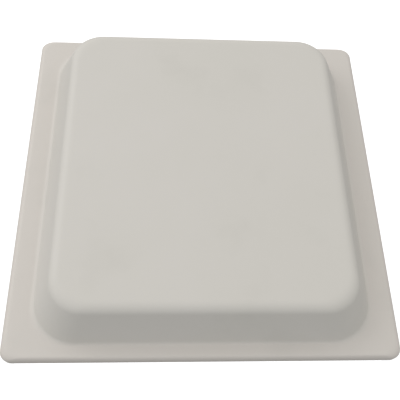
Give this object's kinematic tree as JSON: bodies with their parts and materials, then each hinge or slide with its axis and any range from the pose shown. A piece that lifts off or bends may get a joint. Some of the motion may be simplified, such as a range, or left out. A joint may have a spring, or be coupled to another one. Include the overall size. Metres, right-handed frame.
{
  "type": "flat panel antenna",
  "caption": "Square plastic-covered panel antenna of a retail security gate, with a raised dome, a metal back plate, mounting studs and a threaded cable jack.",
  "frame": {"origin": "centre of the mounting studs' pattern, on the back plate's rear face", "axes": "+Z out of the dome's flat front; +Y away from the edge nearest the cable jack"},
  "size_m": [0.26, 0.26, 0.067],
  "materials": {
    "radome_plastic": "satin moulded plastic, warm off-white",
    "aluminium_plate": "brushed sheet",
    "aluminium_disc": "punched sheet, plain",
    "seal_foam": "closed-cell sponge, die-cut",
    "stainless": "plain stainless",
    "zinc_steel": "bright zinc plated",
    "nylon": "natural nylon",
    "board_laminate": "green solder mask over glass laminate",
    "copper": "gold-flashed copper",
    "resistor_body": "glazed ceramic chip",
    "brass": "turned",
    "solder": "bright solder",
    "nickel": "nickel plate",
    "ptfe": "white fluoropolymer",
    "gold": "gold plate",
    "seal_rubber": "moulded rubber",
    "plug_plastic": "soft polyethylene, red",
    "vent_plastic": "moulded nylon, black",
    "membrane": "expanded fluoropolymer film",
    "label_film": "blank polyester label"
  },
  "bodies": {
    "panel": {"radome": "radome_plastic", "back_plate": "aluminium_plate", "perimeter_seal": "seal_foam", "cover_screws": "stainless", "mounting_studs": "stainless", "standoff_studs": "zinc_steel", "lower_standoffs": "nylon", "driven_disc": "aluminium_disc", "upper_standoffs": "nylon", "parasitic_disc": "aluminium_disc", "standoff_screws": "nylon", "centre_stud": "zinc_steel", "centre_post_lower": "aluminium_disc", "centre_post_upper": "aluminium_disc", "centre_washer": "zinc_steel", "centre_nut": "zinc_steel", "feed_board": "board_laminate", "feed_traces": "copper", "board_screws": "zinc_steel", "termination_resistor": "resistor_body", "feed_pin_left": "brass", "feed_pin_right": "brass", "feed_nuts": "zinc_steel", "solder_joints": "solder", "jack_body": "nickel", "jack_dielectric": "ptfe", "jack_contact": "gold", "jack_seal": "seal_rubber", "jack_screws": "stainless", "vent_body": "vent_plastic", "vent_seal": "seal_rubber", "vent_nut": "vent_plastic", "vent_membrane": "membrane", "vent_cap": "vent_plastic", "rating_label": "label_film"},
    "dust_plug": {"jack_plug": "plug_plastic"}
  },
  "joints": [
    {"name": "plug_pull", "type": "slide", "parent": "panel", "child": "dust_plug", "axis": [0, 0, -1], "range_m": [0, 0.006]}
  ]
}
